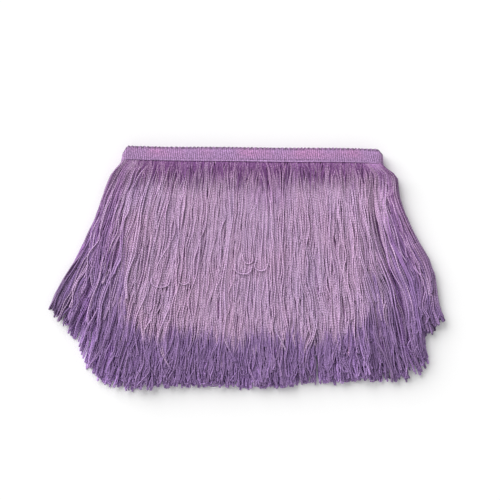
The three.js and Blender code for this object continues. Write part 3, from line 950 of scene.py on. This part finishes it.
def loop_heights(bunch, rises):
    """How far steps lie above the rest height: waves of loops, groups and legs, and what stands out."""
    s, share, normal = bunch.s, bunch.share, bunch.rng.normal
    up = bunch.wave(*HEIGHT_WAVE) * bunch.loose * ramp(s, 0, 0.2)
    level = bunch.side_value(GROUP_HEIGHT_BY_SIDE) * bunch.in_groups(normal(0, 1, bunch.groups))
    up += level * bunch.rim * ramp(s, 0, 1 / 3) * (1 - 0.4 * bunch.tangle)
    legs = bunch.each_leg(*LEG_HEIGHT_WAVE)
    legs = legs + bunch.tangle * bunch.each_leg(*TANGLED_HEIGHT_WAVE)
    up += legs * np.sqrt(s) * bunch.loose
    shows_from = np.where(bunch.tip_lean > 3, 0.87, 0.93)
    stray = bunch.tip_width != TIP_WIDTH
    up += STRAY_RISE * stray * ramp(share, shows_from, shows_from + 0.06)
    return up + bunch.side_value(RISER_HEIGHT_BY_SIDE) * rises * ramp(s, 0, 1 / 3)


def loop_cords(rng, loops, slack, risers, droop_size):
    """Looped cords, down one leg, round the tip and up the other: points as (loop, step, xyz).

    Also gives each step's share of the full length, and each loop's painted sheen and whether it rises.
    """
    bunch = Bunch(rng, loops, slack)
    path, rises = gather(bunch, risers)
    droop(bunch, path, rises, droop_size)
    sway = lock_sway(bunch) + group_sway(bunch) + own_sway(bunch, rises)
    kept_in = 1 - KEPT_IN * ramp(bunch.off_middle, *KEPT_IN_ZONE)
    sway *= np.where(sway * bunch.outside > 0, kept_in, 1)
    sway += bunch.tip_lean * ramp(bunch.share, *TIP_STRETCH) * 1.3
    sway += root_sway(bunch)

    wide = leg_distance(bunch)
    crossing = TAU * bunch.draw(0, 1.3) * ramp(bunch.share, 0, 1)
    crossing = crossing * rng.choice([0, 1], (bunch.count, 1)) * (bunch.tip_width < OPEN_TIP)
    path[..., 0] += sway + bunch.side * wide * np.cos(crossing)
    path[..., 1] -= bunch.beyond * np.clip(wide * 0.9, 0.5, 3.6)
    path[..., 2] += bunch.side * TIP_WIDTH * np.sin(crossing) * ramp(bunch.share, 0, 1 / 3)
    path[..., 2] += loop_heights(bunch, rises)
    path[..., 2] = np.clip(path[..., 2], LOWEST, HIGHEST)

    # Painted sheen, group by group near the rim, and a little darker there.
    glint = bunch.in_groups(np.clip(rng.normal(0, 1, bunch.groups), -2, 1))
    shine = 1 + (bunch.side_value(GROUP_SHINE_BY_SIDE) * glint - 0.02) * bunch.rim * (1 - rises)
    return path, bunch.s, shine, rises


# ---- Fringe: its colours ----
def pale_middle(x, y, jitter):
    """1 over the middle, painted as lit, falling to 0 by the distance outside a rounded rectangle."""
    half_height = (PALE["top"] - PALE["bottom"]) / 2
    dx = np.abs(x - PALE["x"]) - (PALE["half_width"] - PALE["corner"])
    dy = np.abs(y - (PALE["bottom"] + PALE["top"]) / 2) - (half_height - PALE["corner"])
    outside = np.hypot(np.maximum(dx, 0), np.maximum(dy, 0)) + np.minimum(np.maximum(dx, dy), 0)
    outside = outside - PALE["corner"] + 2.5 * np.sin(x / 9) + 1.5 * np.sin(x / 4.1 + 1)
    band = 5 * np.sin(x / 16 + 0.8) * np.exp(-(((y + 20) / 14) ** 2))
    pale = 1 - ramp(outside + jitter, PALE["from"], PALE["to"])
    return pale * (1 - 0.5 * ramp(band, 1, 7))


def tone_of(points, rng, lighter, rises):
    """How light a cord is at a point, from 0 to 1: the largest of three.

    The pale middle, painted as lit, with uneven waves below the header. A bell curve of painted light
    at each shoulder, for some cords. And single paler cords, which show outside the pale middle: those
    that rise are among the palest, as a painted highlight, and all are weaker lower down. Low tones
    stand for painted shade.
    """
    count = points.shape[0]
    jitter = rng.normal(0, 3.2, (count, 1)) - 14 * (rng.uniform(0, 1, (count, 1)) < 0.07)
    jitter = jitter - 20 * lighter
    x, y = points[..., 0], points[..., 1]
    shoulders = sum(
        np.exp(-(((x - light["x"]) / light["wide"]) ** 2) - ((y - light["y"]) / light["tall"]) ** 2)
        for light in SHOULDER_LIGHTS
    )
    paler = by_side(x, 0.56, 0.65 + 0.25 * ramp(y, -90, -50)) * rng.uniform(0, 1, (count, 1)) ** 2
    # Rising cords are paler: a painted highlight.
    paler = paler + by_side(x, 0.28, 0.4) * rises
    fading_at = by_side(x, -120, -108)
    sides = paler * mix(0.3, 1, ramp(y, fading_at, fading_at + 25))
    shoulders = np.clip(shoulders * 1.6, 0, 1) * rng.uniform(-0.1, 1.15, (count, 1)).clip(0, 1)
    return np.maximum(np.maximum(pale_middle(x, y, jitter), shoulders), sides)


def hidden_part(path, share, buried):
    """How deep a point lies under other layers: less near the tip and, lower down, where it is high."""
    y, z = path[..., 1], path[..., 2]
    comes_up = ramp(z, *HIDDEN_HEIGHT) * ramp(-y, *HIDDEN_DOWN)
    return buried * (1 - ramp(share, *HIDDEN_STRETCH)) * (1 - comes_up)


def brightness_of(path, rng, bright, rises, hidden, buried):
    """How bright a cord is at a point, around 1.

    Cords differ most at the right side, and rising ones get a small painted highlight. They are darker
    at the trim's rim and in its lower right corner, as painted shade. In the lower band the top layers
    are darker, as painted shade, and the buried ones brighter, and hidden parts are brighter too, as
    painted light, because little light reaches them.
    """
    x, y = path[..., 0], path[..., 1]
    off_middle = np.abs(x)
    at_shoulder = ramp(off_middle, 80, 88) * ramp(y, -50, -25)
    to_left, to_right = ramp(-x, *SIDE_ZONE), ramp(x, *SIDE_ZONE)
    play = mix(0.035, 0.13, ramp(off_middle, 50, 90))
    play = play - 0.05 * to_left + (0.08 + 0.1 * at_shoulder) * to_right
    brightness = 1 + np.clip(rng.normal(0, 1, (len(path), 1)), -2.2, 1.4) * play
    # A small painted highlight on rising cords.
    brightness = brightness * bright * (1 + 0.05 * rises)

    rim_x = by_side(x, np.interp(-y, RIM_DOWN, RIM_LEFT), np.interp(-y, RIM_DOWN, RIM_RIGHT))
    # Painted shade at the rim and in the lower right corner.
    brightness *= 1 - by_side(x, *RIM_SHADE_BY_SIDE) * ramp(off_middle - rim_x, -3, 1)
    brightness *= 1 - CORNER_SHADE * ramp(x, *CORNER_ACROSS) * ramp(-y, *CORNER_DOWN)
    # Lower band: painted shade on the top layers, painted light on the buried ones.
    brightness *= 1 + min(1.5 * buried - 0.15, 0.38) * ramp(-y, *LOWER_BAND)
    # Painted light on hidden parts.
    lit_up = hidden * (1 - 0.75 * ramp(off_middle, 62, 82) * ramp(y, -100, -80))
    return brightness * (0.955 + 0.035 * to_left + 0.6 * lit_up)


def cord_colours(path, share, rng, loops, rises, depth_shade, buried):
    """Four channels at each step: tone, brightness, hue and how far it is out of painted shade.

    Below the header lies a band of painted shade: the tone and brightness start from the cord's own
    low values and reach their full ones ROOT_BAND further down, and near the header they are darker
    and more tinted still. Some cords are spared this band, and most are at the sides. Hidden parts are
    tinted as painted shade too.
    """
    count = len(path)
    lighter = loops["lighter"][:, None]
    # Lower layers have a lower tone, as painted shade.
    tone = tone_of(path, rng, lighter, rises) * depth_shade
    hidden = hidden_part(path, share, buried)
    brightness = brightness_of(path, rng, loops["bright"], rises, hidden, buried)

    starts = rng.uniform(*ROOT_STARTS, (count, 1))
    starts = starts - NO_BAND_BY * (rng.uniform(0, 1, (count, 1)) < BARE_SHARE)
    at_sides = ramp(np.abs(path[:, :1, 0]), *SPARED_ZONE)
    spared = at_sides * (rng.uniform(0, 1, (count, 1)) < SPARED_SHARE)
    starts = starts - NO_BAND_BY * spared
    # Painted shade below the header: each cord's own low tone and brightness there.
    root_shade_tone = 0.25 * rng.uniform(0, 1, (count, 1)) ** 2
    root_shade_brightness = rng.uniform(*ROOT_SHADE_BRIGHTNESS, (count, 1))
    hue = rng.uniform(0, 1, (count, 1)) + 3 * lighter

    down = share * FRINGE_LENGTH
    shaded = ramp(down, starts, starts + ROOT_BAND)
    tone = tone * mix(root_shade_tone, 1, shaded)
    brightness = brightness * mix(root_shade_brightness, 1, shaded)
    # More painted shade right at the header, and the gap tint near it.
    brightness *= mix(0.88 + 0.08 * spared, 1, ramp(down, 2.1, 5.1))
    brightness *= mix(0.83 + 0.14 * spared, 1, ramp(down, 3, 3 + ROOT_BAND))
    unshaded_share = (1 - hidden) * mix(0.45 + 0.45 * spared, 1, ramp(down, 3, 18))
    return np.stack(np.broadcast_arrays(tone, brightness, hue, unshaded_share), -1)


# ---- Fringe: its pieces ----
def cord_rings(path, rng, angle):
    """Rings round the paths, centre + radius * (cos a * side + sin a * up), a radius for each cord."""
    along = np.gradient(path, axis=1)
    along /= np.linalg.norm(along, axis=-1, keepdims=True)
    side = np.cross(along, [0.0, 0.0, 1.0])
    side /= np.linalg.norm(side, axis=-1, keepdims=True)
    up = np.cross(side, along)
    radius = CORD_RADIUS * rng.uniform(0.88, 1.12, (len(path), 1, 1, 1))
    ring = np.cos(angle)[:, None] * side[:, :, None] + np.sin(angle)[:, None] * up[:, :, None]
    return path[:, :, None] + radius * ring


def cord_uv(path, rng):
    """Length so far, from a random start for each cord, and share of the way round."""
    steps = np.linalg.norm(np.diff(path, axis=1), axis=-1)
    length = np.concatenate([np.zeros((len(path), 1)), np.cumsum(steps, 1)], 1)[:, :, None]
    around = np.arange(CORD_SIDES) / CORD_SIDES
    return np.stack(np.broadcast_arrays(length + rng.uniform(0, 9, (len(path), 1, 1)), around), -1)


def cord_faces(count, steps):
    """Quads between neighbouring rings of each cord, and a face that closes each of its ends."""
    corner = np.arange(CORD_SIDES)
    c, i, k = np.meshgrid(np.arange(count), np.arange(steps - 1), corner, indexing="ij")
    base = (c * steps + i) * CORD_SIDES
    after = (k + 1) % CORD_SIDES
    quads = np.stack([base + k, base + after, base + CORD_SIDES + after, base + CORD_SIDES + k], -1)
    start = np.arange(count)[:, None] * steps * CORD_SIDES
    first = start + corner[::-1]
    last = start + (steps - 1) * CORD_SIDES + corner
    return quads.reshape(-1, 4).tolist() + first.tolist() + last.tolist()


def make_cords(name, rng, loops, material, slack, risers, droop_size=0.0, depth_shade=1.0, buried=0.0, riser_light_and_shade=0.0):
    """A piece of looped cords: tubes along their paths, closed at both ends, with painted shade
    underneath.

    Loops that rise are made brighter by the last argument's share, and darker where it is below 0:
    painted light and painted shade.
    """
    path, share, shine, rises = loop_cords(rng, loops, slack, risers, droop_size)
    angle = TAU * np.arange(CORD_SIDES) / CORD_SIDES
    points = cord_rings(path, rng, angle)
    uv = cord_uv(path, rng)
    bright = loops["bright"][:, None] * shine * (1 + riser_light_and_shade * rises)
    colour = cord_colours(path, share, rng, {**loops, "bright": bright}, rises, depth_shade, buried)
    # Painted shade on the cords' undersides: a lower tone and more of the gap tint.
    under = (1 - np.sin(angle)) / 2
    underside_shade = np.stack(np.broadcast_arrays(1 - 0.25 * under, 1, 1, 1 - 0.5 * under), -1)
    faces = cord_faces(*path.shape[:2])
    return new_piece(name, points, faces, material, uv, colour[:, :, None] * underside_shade)


def plain_loops(root_x, root_z, fan_x, rest_z, short, inner):
    """Loops with plain tips, as arrays by name with a value for each loop."""
    count = len(root_x)
    return {
        "root_x": root_x, "root_z": root_z, "fan_x": fan_x, "rest_z": rest_z, "short": short,
        "inner": inner, "tip_width": np.full(count, TIP_WIDTH), "tip_lean": np.zeros(count),
        "lighter": np.zeros(count), "bright": np.ones(count),
    }


def with_strays(loops, layer):
    """The same arrays with the single cords of STRAYS added to them."""
    fan_x, length, tip_width, tip_lean, lighter, bright = STRAYS.T
    height = np.full(len(fan_x), layer["slab"][1] - STRAY_DEPTH)
    root_z = np.full(len(fan_x), layer["z"])
    inner = np.full(len(fan_x), layer["inner"])
    short = FRINGE_LENGTH - length
    strays = plain_loops(fan_x / FAN_STRETCH, root_z, fan_x, height, short, inner)
    strays.update(tip_width=tip_width, tip_lean=tip_lean, lighter=lighter, bright=bright)
    return {name: np.append(values, strays[name]) for name, values in loops.items()}


def straight_layer(number, layer, material):
    """The loops that hang from one straight run of the header, spaced by ROOTS_BY_TIPS with some play."""
    rng = np.random.default_rng(LAYER_SEED + number)
    count = layer["loops"]
    low, high = layer["slab"]
    reach = half_width - END_ZONE + 2
    even = np.linspace(-1, 1, count)
    by_tips = np.interp(even, tip_share * 2 - 1, FAN_ROOT) / FAN_ROOT[-1]
    root_x = mix(even, by_tips, ROOTS_BY_TIPS) * reach + rng.uniform(-0.6, 0.6, count)
    fan_x = np.clip(root_x * FAN_STRETCH + rng.normal(0, 1.0, count), FAN_ROOT[0], FAN_ROOT[-1])
    root_z = layer["z"] + rng.uniform(0.2, 0.5, count)
    rest_z = rng.uniform(low + CORD_RADIUS, high - CORD_RADIUS, count)
    short = rng.normal(layer["cut"], 0.9, count) + rng.uniform(0, 1, count) ** 2 * layer["short"]
    early = (rng.uniform(0, 1, count) < layer["early"]) * ramp(np.abs(fan_x), *EARLY_ZONE)
    short += early * rng.uniform(*EARLY_BY, count)
    rest_z += early * rng.uniform(*EARLY_RISE, count)
    loops = plain_loops(root_x, root_z, fan_x, rest_z, short, np.full(count, layer["inner"]))
    if layer is LAYERS[-1]:
        loops = with_strays(loops, layer)
    return make_cords(
        f"{layer['node']}_cords_{number}", rng, loops, material, layer["loose"], layer["risers"],
        droop_size=layer["droop"], depth_shade=layer["depth_shade"], buried=layer["buried"],
    )


# The half turn of each end, and how far it has gone over to the inner turn at its front and back.
ENDS = [
    {"node": "fringe_left_end", "turn": OUTER_LEFT, "inner": (0, 1)},
    {"node": "fringe_right_end", "turn": OUTER_RIGHT, "inner": (0, 0)},
]


def end_layer(number, end, material):
    """The loops that hang from one half turn, spread over it from the front run to the back run."""
    rng = np.random.default_rng(END_SEED + number)
    turn = end["turn"]
    angle = np.linspace(END_SPREAD, -END_SPREAD, END_LOOPS)
    to_front = (angle + END_SPREAD) / (2 * END_SPREAD)
    a = np.radians(angle)
    root_x = turn["x"] + turn["side"] * (turn["radius"] - END_ROOT_INSET) * np.cos(a)
    root_z = turn["z"] + turn["radius"] * np.sin(a)
    inset = rng.uniform(0, END_FAN_INSET, END_LOOPS) * (0.6 + 0.4 * to_front)
    fan_x = turn["side"] * (half_width - inset)
    rest_z = mix(CORD_RADIUS, END_TOP, to_front) + rng.uniform(0, 0.5, END_LOOPS)
    short = rng.normal(END_CUT["mean"], END_CUT["play"], END_LOOPS)
    short = short + rng.uniform(0, 1, END_LOOPS) ** 2 * END_CUT["most"]
    inner = mix(*end["inner"], (90 - angle) / 180)
    loops = plain_loops(root_x, root_z, fan_x, rest_z, short, inner)
    # Painted shade on the end cords.
    loops["bright"] = loops["bright"] * END_SHADE[turn["side"]]
    name = end["node"] + "_cords"
    return make_cords(name, rng, loops, material, END_LOOSE, END_RISERS, riser_light_and_shade=END_RISER_LIGHT_AND_SHADE * turn["side"])


yarn = yarn_finish()
braid = header_finish()

header, header_length = make_header(braid)
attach(header, "root")
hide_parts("header")

fringe = [(straight_layer(number, layer, yarn), layer["node"]) for number, layer in enumerate(LAYERS)]
for number, end in enumerate(ENDS):
    fringe.append((end_layer(number, end, yarn), end["node"]))
for piece, node in fringe:
    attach(piece, "root")
    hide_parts(node)

header_length * MM


# ---- Stage ----
def make_floor():
    """A pale square, FLOOR_HALF to each side."""
    look = Finish("floor")
    look.set(Base_Color=FLOOR_WHITE, Roughness=0.9, Specular_IOR_Level=0.1)
    mesh = bpy.data.meshes.new("floor")
    half = FLOOR_HALF * MM
    corners = [(x * half, y * half, 0) for x, y in ((-1, -1), (1, -1), (1, 1), (-1, 1))]
    mesh.from_pydata(corners, [], [(0, 1, 2, 3)])
    mesh.materials.append(look.material)
    floor = bpy.data.objects.new("floor", mesh)
    bpy.context.scene.collection.objects.link(floor)


def make_light():
    """A white sky, and a broad low sun from the upper left."""
    scene = bpy.context.scene
    world = bpy.data.worlds.new("studio")
    world.use_nodes = True
    background = world.node_tree.nodes["Background"]
    background.inputs["Color"].default_value = (1, 1, 1, 1)
    background.inputs["Strength"].default_value = SKY_STRENGTH
    scene.world = world
    sun = bpy.data.lights.new("key", "SUN")
    sun.energy = SUN_STRENGTH
    sun.angle = SUN_SPREAD
    key = bpy.data.objects.new("key", sun)
    key.rotation_euler = (math.pi / 2 - SUN_ELEVATION, 0, SUN_AZIMUTH + math.pi / 2)
    scene.collection.objects.link(key)


def make_camera():
    """Straight above the trim, so high that the picture takes in VIEW_WIDTH at VIEW_LEVEL."""
    data = bpy.data.cameras.new("camera")
    data.lens = LENS
    data.sensor_width = SENSOR
    camera = bpy.data.objects.new("camera", data)
    height = VIEW_WIDTH * LENS / SENSOR + VIEW_LEVEL
    x, y = VIEW_CENTRE
    camera.location = ((x + ORIGIN[0]) * MM, (y + ORIGIN[1]) * MM, height * MM)
    camera.rotation_euler = (0, 0, CAMERA_ROLL)
    bpy.context.scene.collection.objects.link(camera)
    bpy.context.scene.camera = camera


make_floor()
make_light()
make_camera()
bpy.context.scene.view_settings.view_transform = "Standard"
